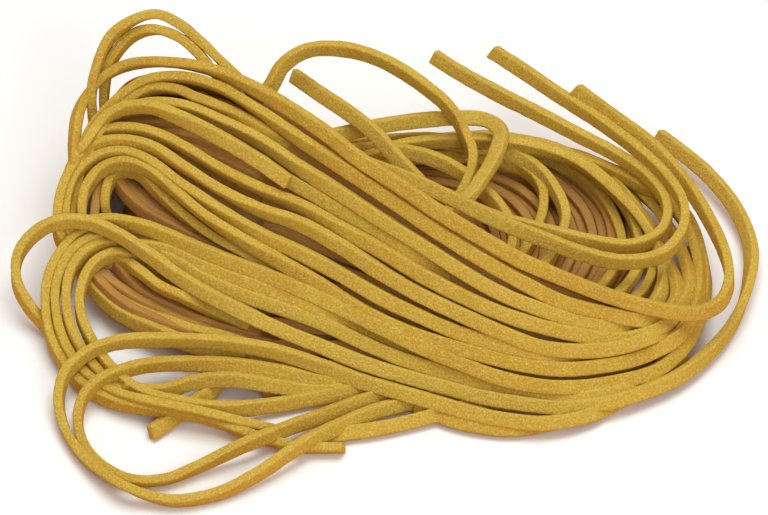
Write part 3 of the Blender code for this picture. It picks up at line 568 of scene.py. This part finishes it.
# %% Lanes behind the crest: pixels below the crest's picture, height, and the noodle it runs on into
BACK_LANES = [
    (16, 23.6, None),
    (20, 20.8, None),
    (24, 18.0, None),
    (28, 15.0, "kinked"),
    (30, 12.6, "wall_inner"),
    (32, 10.0, "wall_low"),
    (22, 8.4, "hollow_high"),
    (36, 7.4, "hollow_first"),
    (40, 4.9, "hollow_low"),
    (46, 2.4, "hollow_outer"),
    (24, 5.6, None),
    (28, 2.8, None),
]
BACK_LEAN = 118
LANE_LEANS = [90] + [BACK_LEAN] * 5
# A lane is about half of such a long noodle, so the leans of its other half count twice.
SHOWN_SHARE = 2
CREST_TOP = 29.0
LOWEST_LANE = 1.4
BACK_LEFT_TURN = [(70, 236, 0.42), (73, 205, 0.5), (82, 166, 0.64), (100, 130, 0.8)]
BACK_LEFT_SHIFT = 1.1
BACK_LEFT_SHIFTS = 4
BACK_STATIONS = (130, 180, 240, 300)
BACK_CUT_STATIONS = (345, 385)


def back_lane_route(index, below, height, runs_on):
    shift = BACK_LEFT_SHIFT * (index % BACK_LEFT_SHIFTS)
    route = [(u + shift, v + shift, max(LOWEST_LANE, height * share)) for u, v, share in BACK_LEFT_TURN]
    stations = BACK_STATIONS if runs_on else BACK_STATIONS + BACK_CUT_STATIONS
    for u in stations:
        crest_v, crest_z = read_stations(FRONT_FACE, u)[1:3]
        route.append((u, crest_v + below, max(LOWEST_LANE, height * crest_z / CREST_TOP)))
    return route


back_lanes = []
for index, (below, height, runs_on) in enumerate(BACK_LANES):
    points = route_points(0.0, back_lane_route(index, below, height, runs_on))
    leans = list(LANE_LEANS)
    if runs_on:
        lift, last_leans, route = HOLLOW_TURNS[runs_on]
        points += route_points(lift, route)
        leans += [BACK_LEAN] + [lean for lean in last_leans for _ in range(SHOWN_SHARE)]
    back_lanes.append(noodle_along("back_lane", leans, points))
back_winding = join_noodles("back_winding", back_lanes)

# %% [markdown]
# ## The floor of the hollow
#
# On the bottom of the hollow the noodles lie nested, bend within bend. An outer and an inner bend are
# given, and the others lie at even shares between them and a little outside, in two layers by turns.

# %% Nested bends
FLOOR_OUTER = [(330, 212), (375, 170), (430, 150), (490, 149), (540, 158), (585, 183), (612, 215),
               (618, 250), (600, 288), (540, 342)]
FLOOR_INNER = [(350, 225), (385, 202), (415, 197), (440, 203), (458, 213), (470, 226), (476, 240),
               (476, 256), (470, 272), (435, 312)]
FLOOR_NOODLES = 18
FLOOR_FIRST = -0.16
FLOOR_HEIGHTS = (1.4, 2.7)
FLOOR_LEANS = (60, 75, 90, 90, 90, 90)


def floor_route(share, height):
    """A bend on the floor of the hollow, at this share of the way from the outer to the inner one."""
    pairs = zip(FLOOR_OUTER, FLOOR_INNER)
    return [(blend(u, in_u, share), blend(v, in_v, share), height) for (u, v), (in_u, in_v) in pairs]


floor_noodles = []
for index in range(FLOOR_NOODLES):
    share = blend(FLOOR_FIRST, 1.0, index / (FLOOR_NOODLES - 1))
    route = floor_route(share, FLOOR_HEIGHTS[index % len(FLOOR_HEIGHTS)])
    floor_noodles.append(bent_noodle("floor_noodle", 0.0, FLOOR_LEANS, route))
hollow_floor = join_noodles("hollow_floor", floor_noodles)

# %% [markdown]
# ## Inside the eyes
#
# At the left the bundle opens into two eyes, which look into the winding. The noodles there are nested
# in the same sense as the rims, each a little further in and deeper, and lie in shade that their finish
# paints in.

# %% Nested noodles in shade: leans, route, step in u, v and lift, first lift, number
FAN_POINTS = 2
EYE_NESTS = {
    "upper_eye": ((90, 75, 60, 55), [(110, 158), (119, 184), (141, 209), (181, 233), (225, 255), (280, 282)],
                  (8, 0, -0.6), -3.2, 9),
    "upper_side": ((90, 90, 75), [(92, 246), (95, 212), (101, 184), (116, 170), (140, 166)],
                   (4, 3, -1.6), -2.2, 2),
    "lower_eye": ((85, 75, 60, 55), [(98, 252), (116, 266), (142, 293), (178, 312), (222, 330), (268, 344)],
                  (9, -8, -0.8), -3.6, 4),
    "under_the_eyes": ((60, 55, 50, 50), [(112, 252), (132, 262), (160, 272), (200, 288), (240, 305),
                                          (280, 319), (320, 333)], (0, 10, 0.0), -4.6, 4),
}


def nested_noodles(leans, route, step, first_lift, count):
    """Noodles that fan out from one start: each runs one step on from the last."""
    noodles = []
    for index in range(count):
        moved = []
        for order, (u, v) in enumerate(route):
            share = index * min(1.0, order / FAN_POINTS)
            moved.append((u + step[0] * share, v + step[1] * share))
        noodles.append(bent_noodle("nested", first_lift + step[2] * index, leans, moved))
    return noodles


eye_noodles = []
for settings in EYE_NESTS.values():
    eye_noodles += nested_noodles(*settings)
eye_wall = join_noodles("eye_walls", eye_noodles)

# %% [markdown]
# ## The noodles below the surface
#
# Between the noodles of the front face the eye looks down on the next layer. It runs the same way, so
# a loop lays it at even shares between the crest and the foot, a noodle's thickness lower. A few more
# run along the back of the crest, where the hollow opens.

# %% Lower layer
LOWER_LIFT = -2.3
LOWER_LEAN = 50
LOWER_SHARES = 13
BELOW_CREST = 14
ABOVE_FOOT = 10
LOWER_STATIONS = (262, 310, 360, 410, 460, 510, 560, 610, 650)
WALL_STATIONS = ((330, 18.0), (375, 15.0), (420, 9.5), (470, 7.0), (520, 7.0), (570, 7.0), (620, 6.0))
WALL_NOODLES = 8
WALL_TOP = 0.82
WALL_FOOT = 0.08
WALL_LEAN = 108
LEFT_NESTS = {
    "above_the_eye": ((90, 90, 60, 50, 50), [(98, 150), (116, 124), (150, 113), (185, 116), (220, 130),
                                             (260, 150), (300, 177), (340, 202)], (0, 11, 0.0), -2.4, 5),
    "along_the_foot": ((85, 75, 60, 55), [(82, 252), (94, 277), (124, 306), (163, 325), (208, 342),
                                          (255, 352), (300, 364)], (9, -7, -0.6), -2.5, 2),
}


def lower_route(share):
    route = []
    for u in LOWER_STATIONS:
        _, crest_v, _, foot_v, _ = read_stations(FRONT_FACE, u)
        route.append((u, blend(crest_v + BELOW_CREST, foot_v - ABOVE_FOOT, share)))
    return route


def crest_wall_route(share):
    """A route behind the crest, over the hollow, at this share of the crest's height."""
    route = []
    for u, reach in WALL_STATIONS:
        crest_v, crest_z = read_stations(FRONT_FACE, u)[1:3]
        behind = reach * (1.0 - share)
        down = crest_z * (1.0 - share)
        route.append((u, crest_v + (down - behind) * math.cos(VIEW_ANGLE) * VIEW_SCALE, crest_z * share))
    return route


lower_noodles = []
for index in range(LOWER_SHARES):
    route = lower_route(index / (LOWER_SHARES - 1))
    lower_noodles.append(bent_noodle("lower", LOWER_LIFT, (LOWER_LEAN, LOWER_LEAN), route))
for index in range(WALL_NOODLES):
    route = crest_wall_route(blend(WALL_TOP, WALL_FOOT, index / (WALL_NOODLES - 1)))
    lower_noodles.append(bent_noodle("wall", 0.0, (WALL_LEAN, WALL_LEAN), route))
for settings in LEFT_NESTS.values():
    lower_noodles += nested_noodles(*settings)
lower_layer = join_noodles("lower_layer", lower_noodles)

# %% [markdown]
# ## The core
#
# Deeper down nothing of the winding can be told apart. A ball is drawn out under the bundle, flat
# where it rests, and lies well below the noodles, so it only closes the view through the heap. Its brown
# finish is painted shade.

# %% Core
CORE_LEFT = -44.5
CORE_RIGHT = 46.0
CORE_DEPTH = 5.2
CORE_FRONT_INSET = 5.6
CORE_BACK_INSET = 4.4
CORE_RIM = 1.0
CORE_ROUND = 2.2
CORE_SEGMENTS = 96
CORE_RINGS = 48
FLAT_SIDE = 0.01
BACK_FULL = 18.5
BACK_WALL = 8.0
BACK_FULL_U = 340
BACK_WALL_U = 430
HEIGHT_ROUNDS = 12


def crest_back(u):
    """How far the heap reaches behind its crest: a broad back on the left, a wall at the hollow."""
    share = min(1.0, max(0.0, (u - BACK_FULL_U) / (BACK_WALL_U - BACK_FULL_U)))
    return blend(BACK_FULL, BACK_WALL, share)


def picture_y(v, height):
    """Distance back from the front, in millimetres, of what shows at v and lies at this height."""
    up = (VIEW_CENTRE_V - v) / VIEW_SCALE
    return (up - height * math.cos(VIEW_ANGLE)) / math.sin(VIEW_ANGLE)


def heap_height(x, y):
    """Height of the heap's surface over a point of the table, in millimetres."""
    u = x * VIEW_SCALE + VIEW_CENTRE_U
    _, crest_v, crest_z, _, _ = read_stations(FRONT_FACE, u)
    crest_y = picture_y(crest_v, crest_z)
    if y > crest_y:
        return crest_z * (1.0 - (y - crest_y) / crest_back(u))
    height = crest_z / 2
    for _ in range(HEIGHT_ROUNDS):
        up = y * math.sin(VIEW_ANGLE) + height * math.cos(VIEW_ANGLE)
        height = front_height(u, VIEW_CENTRE_V - up * VIEW_SCALE)
    return height


bpy.ops.object.select_all(action="DESELECT")
bpy.ops.mesh.primitive_uv_sphere_add(segments=CORE_SEGMENTS, ring_count=CORE_RINGS, radius=1.0)
core = bpy.context.active_object
for vertex in core.data.vertices:
    a, b, c = vertex.co
    x = blend(CORE_LEFT, CORE_RIGHT, (a + 1) / 2)
    u = x * VIEW_SCALE + VIEW_CENTRE_U
    _, crest_v, crest_z, foot_v, foot_z = read_stations(FRONT_FACE, u)
    front_y = picture_y(foot_v, foot_z) + CORE_FRONT_INSET
    back_y = picture_y(crest_v, crest_z) + crest_back(u) - CORE_BACK_INSET
    y = blend(front_y, back_y, (b + 1) / 2)
    height = 0.0
    if c > FLAT_SIDE:
        height = max(CORE_RIM, heap_height(x, y) - CORE_DEPTH) * min(1.0, c * CORE_ROUND)
    vertex.co = (Vector((x, y, height)) + NEST_SHIFT) * MM
bpy.ops.object.shade_smooth()
nest_core = join_noodles("nest_core", [core])

# %% [markdown]
# ## The dough's surface
#
# Egg dough dries to a warm yellow, dusted with flour and rough as fine sandpaper. The roller and the
# knife leave fine lines across the ribbon. One node group makes the masks that every finish here uses:
# flour, slow changes of shade, and the height of the grain for the bump.

# %% A helper for nodes
MIX_FACTOR = 0
MIX_A = 6
MIX_B = 7
MIX_RESULT = 2


def add_node(tree, kind, **settings):
    node = tree.nodes.new(kind)
    for key, value in settings.items():
        setattr(node, key, value)
    return node


def mix_colours(tree, factor, first, second):
    """A colour mixed between two sockets or plain colours by a factor socket."""
    node = add_node(tree, "ShaderNodeMix", data_type="RGBA")
    tree.links.new(factor, node.inputs[MIX_FACTOR])
    for index, colour in ((MIX_A, first), (MIX_B, second)):
        if isinstance(colour, tuple):
            node.inputs[index].default_value = colour
        else:
            tree.links.new(colour, node.inputs[index])
    return node.outputs[MIX_RESULT]


def stepped(tree, value, low, high):
    """Stretches a value so that low gives 0 and high gives 1."""
    node = add_node(tree, "ShaderNodeMapRange", clamp=True)
    tree.links.new(value, node.inputs["Value"])
    node.inputs["From Min"].default_value = low
    node.inputs["From Max"].default_value = high
    return node.outputs["Result"]


def calculate(tree, operation, first, second):
    node = add_node(tree, "ShaderNodeMath", operation=operation)
    for index, value in enumerate((first, second)):
        if isinstance(value, float):
            node.inputs[index].default_value = value
        else:
            tree.links.new(value, node.inputs[index])
    return node.outputs[0]


print("helpers for nodes are ready")

# %% The floury grain group
# Each noise has its scale, detail and roughness.
GRAIN = (3000.0, 3.0, 0.65)
CRUMBS = (1500.0, 4.0, 0.7)
PATCHES = (150.0, 3.0, 0.6)
LINES = (1.0, 3.0, 0.6)
LINE_STRETCH = (2.6, 0.22, 0.22)
# Each range is stretched to run from 0 to 1.
FLOURED_CRUMBS = (0.2, 0.7)
FLOURED_GRAIN = (0.48, 0.66)
PITTED_GRAIN = (0.5, 0.34)
SOFT_RANGE = (0.3, 0.7)
GRAIN_HEIGHT = 0.45
CRUMB_HEIGHT = 0.55
LINE_HEIGHT = 0.6


def noise_node(tree, vector, scale, detail, roughness):
    node = add_node(tree, "ShaderNodeTexNoise")
    tree.links.new(vector, node.inputs["Vector"])
    node.inputs["Scale"].default_value = scale
    node.inputs["Detail"].default_value = detail
    node.inputs["Roughness"].default_value = roughness
    return node.outputs["Fac"]


def make_grain_group():
    group = bpy.data.node_groups.new("floury_grain", "ShaderNodeTree")
    for name, kind in (("Place", "NodeSocketVector"), ("Ribbon", "NodeSocketVector")):
        group.interface.new_socket(name, in_out="INPUT", socket_type=kind)
    for name in ("Flour", "Pits", "Patch", "Lines", "Height"):
        group.interface.new_socket(name, in_out="OUTPUT", socket_type="NodeSocketFloat")
    enter = add_node(group, "NodeGroupInput")
    leave = add_node(group, "NodeGroupOutput")
    grain = noise_node(group, enter.outputs["Place"], *GRAIN)
    crumbs = noise_node(group, enter.outputs["Place"], *CRUMBS)
    patch = noise_node(group, enter.outputs["Place"], *PATCHES)
    stretch = add_node(group, "ShaderNodeVectorMath", operation="MULTIPLY")
    stretch.inputs[1].default_value = LINE_STRETCH
    group.links.new(enter.outputs["Ribbon"], stretch.inputs[0])
    lines = noise_node(group, stretch.outputs[0], *LINES)
    flour = calculate(group, "MULTIPLY", stepped(group, crumbs, *FLOURED_CRUMBS),
                      stepped(group, grain, *FLOURED_GRAIN))
    rough = calculate(group, "ADD", calculate(group, "MULTIPLY", grain, GRAIN_HEIGHT),
                      calculate(group, "MULTIPLY", crumbs, CRUMB_HEIGHT))
    height = calculate(group, "ADD", rough, calculate(group, "MULTIPLY", lines, LINE_HEIGHT))
    group.links.new(flour, leave.inputs["Flour"])
    group.links.new(stepped(group, grain, *PITTED_GRAIN), leave.inputs["Pits"])
    group.links.new(stepped(group, patch, *SOFT_RANGE), leave.inputs["Patch"])
    group.links.new(stepped(group, lines, *SOFT_RANGE), leave.inputs["Lines"])
    group.links.new(height, leave.inputs["Height"])
    return group


grain_group = make_grain_group()
print("group", grain_group.name, "nodes:", len(grain_group.nodes))

# %% [markdown]
# ## The finishes
#
# The noodles share one finish: a yolk yellow that turns a little deeper in patches, paler where flour
# sits, and slightly different from noodle to noodle. What lies in the depth has the same dough darkened
# to amber as painted shade, and the core is darkened to brown, also painted shade.

# %% Dough finish
DEEP_YELLOW = (0.51, 0.275, 0.020, 1.0)
YOLK_YELLOW = (0.595, 0.400, 0.035, 1.0)
PALE_YELLOW = (0.645, 0.468, 0.066, 1.0)
FLOUR_PALE = (0.79, 0.65, 0.21, 1.0)
# Painted shade: darker, redder copies of the dough for noodles that lie deep in shade.
PAINTED_SHADE_DEEP = (0.40, 0.19, 0.052, 1.0)
PAINTED_SHADE_AMBER = (0.54, 0.295, 0.065, 1.0)
# Painted shade: the core's brown stands for the dark depth of the heap.
CORE_PAINTED_SHADE_BROWN = (0.32, 0.15, 0.05, 1.0)
CORE_PAINTED_SHADE_AMBER = (0.42, 0.21, 0.06, 1.0)
TINT_SHARE = 0.55
LINE_SHARE = 0.45
PIT_SHARE = 0.6
FLOUR_SHARE = 0.7
BARE_ROUGHNESS = 0.68
FLOUR_ROUGHNESS = 0.2
SHINE = 0.22
BUMP_DEPTH = 0.00028
BUMP_STRENGTH = 1.0


def dough_material(name, deep, plain, pale, flour):
    material = bpy.data.materials.new(name)
    material.use_nodes = True
    tree = material.node_tree
    shader = tree.nodes["Principled BSDF"]
    place_node = add_node(tree, "ShaderNodeTexCoord")
    ribbon = add_node(tree, "ShaderNodeAttribute", attribute_name="ribbon")
    tint = add_node(tree, "ShaderNodeAttribute", attribute_name="tint")
    grain = add_node(tree, "ShaderNodeGroup", node_tree=grain_group)
    tree.links.new(place_node.outputs["Object"], grain.inputs["Place"])
    tree.links.new(ribbon.outputs["Vector"], grain.inputs["Ribbon"])
    colour = mix_colours(tree, grain.outputs["Patch"], deep, plain)
    for source, share, tone in ((tint.outputs["Fac"], TINT_SHARE, pale),
                                (grain.outputs["Lines"], LINE_SHARE, pale),
                                (grain.outputs["Pits"], PIT_SHARE, deep),
                                (grain.outputs["Flour"], FLOUR_SHARE, flour)):
        colour = mix_colours(tree, calculate(tree, "MULTIPLY", source, share), colour, tone)
    tree.links.new(colour, shader.inputs["Base Color"])
    dust = calculate(tree, "MULTIPLY", grain.outputs["Flour"], FLOUR_ROUGHNESS)
    tree.links.new(calculate(tree, "ADD", dust, BARE_ROUGHNESS), shader.inputs["Roughness"])
    shader.inputs["Specular IOR Level"].default_value = SHINE
    bump = add_node(tree, "ShaderNodeBump")
    bump.inputs["Strength"].default_value = BUMP_STRENGTH
    bump.inputs["Distance"].default_value = BUMP_DEPTH
    tree.links.new(grain.outputs["Height"], bump.inputs["Height"])
    tree.links.new(bump.outputs["Normal"], shader.inputs["Normal"])
    return material


dough = dough_material("dried_egg_dough", DEEP_YELLOW, YOLK_YELLOW, PALE_YELLOW, FLOUR_PALE)
# The hollow's floor, the eyes' nested noodles and the lower layer wear this painted shade.
painted_shade_dough = dough_material("egg_dough_painted_shade", PAINTED_SHADE_DEEP, PAINTED_SHADE_AMBER, PAINTED_SHADE_AMBER, PAINTED_SHADE_AMBER)
core_painted_shade_dough = dough_material("deepest_dough_painted_shade", CORE_PAINTED_SHADE_BROWN, CORE_PAINTED_SHADE_AMBER, CORE_PAINTED_SHADE_AMBER, CORE_PAINTED_SHADE_AMBER)
FINISHES = [
    (dough, (arches, front_bundle, left_loops, turn_backs, back_winding)),
    (painted_shade_dough, (hollow_floor, eye_wall, lower_layer)),
    (core_painted_shade_dough, (nest_core,)),
]
for finish, pieces in FINISHES:
    for piece in pieces:
        piece.data.materials.clear()
        piece.data.materials.append(finish)
print("finishes:", [finish.name for finish, _ in FINISHES])

# %% [markdown]
# ## Floor, light and camera
#
# A plain pale floor throws back a warmer light than it shows, so that the gaps glow. The fill light from
# all round is reddish, and two slightly cool, soft lights make up for it. The wide one stands above and
# a little behind, and a smaller one in front. The camera looks down at 45 degrees from far away, with a
# long lens, so the routes above fall on the picture's pixels.

# %% Floor
FLOOR_SIZE = 6.0
FLOOR_ROUGHNESS = 0.9
FLOOR_PALE = (0.95, 1.0, 1.0, 1.0)
FLOOR_DIM = (0.86, 0.52, 0.24, 1.0)

bpy.ops.object.select_all(action="DESELECT")
bpy.ops.mesh.primitive_plane_add(size=FLOOR_SIZE)
floor = bpy.context.active_object
floor.name = "floor"
floor_material = bpy.data.materials.new("pale_floor")
floor_material.use_nodes = True
floor_shader = floor_material.node_tree.nodes["Principled BSDF"]
floor_shader.inputs["Roughness"].default_value = FLOOR_ROUGHNESS
seen = add_node(floor_material.node_tree, "ShaderNodeLightPath").outputs["Is Camera Ray"]
floor_colour = mix_colours(floor_material.node_tree, seen, FLOOR_DIM, FLOOR_PALE)
floor_material.node_tree.links.new(floor_colour, floor_shader.inputs["Base Color"])
floor.data.materials.append(floor_material)
print("floor", FLOOR_SIZE, "m")

# %% Lights: place, size in metres, power
WORLD_STRENGTH = 0.5
WORLD_COLOUR = (1.0, 0.82, 0.76, 1.0)
LIGHT_COLOUR = (0.95, 1.0, 1.0)
LIGHTS = {
    "top_light": ((0.05, 0.16, 1.1), 0.8, 7.9),
    "front_light": ((0.45, -0.95, 0.72), 0.6, 4.3),
}

world = bpy.context.scene.world or bpy.data.worlds.new("world")
bpy.context.scene.world = world
world.use_nodes = True
world.node_tree.nodes["Background"].inputs["Color"].default_value = WORLD_COLOUR
world.node_tree.nodes["Background"].inputs["Strength"].default_value = WORLD_STRENGTH
for name, (spot, size, power) in LIGHTS.items():
    bpy.ops.object.light_add(type="AREA", location=spot)
    light = bpy.context.active_object
    light.name = name
    light.data.size = size
    light.data.energy = power
    light.data.color = LIGHT_COLOUR
    light.rotation_euler = (-Vector(spot)).to_track_quat("-Z", "Y").to_euler()
bpy.context.scene.view_settings.view_transform = "Standard"
print("lights:", sorted(LIGHTS))

# %% Camera
SENSOR_WIDTH = 36.0
PICTURE_WIDTH = 768
aim = NEST_SHIFT * MM
away = Vector((0.0, -math.cos(VIEW_ANGLE), math.sin(VIEW_ANGLE)))
bpy.ops.object.camera_add(location=aim + away * VIEW_DISTANCE * MM)
camera = bpy.context.active_object
camera.rotation_euler = (-away).to_track_quat("-Z", "Y").to_euler()
camera.data.sensor_width = SENSOR_WIDTH
camera.data.lens = SENSOR_WIDTH * VIEW_DISTANCE * VIEW_SCALE / PICTURE_WIDTH
bpy.context.scene.camera = camera
print("lens", camera.data.lens, "mm")
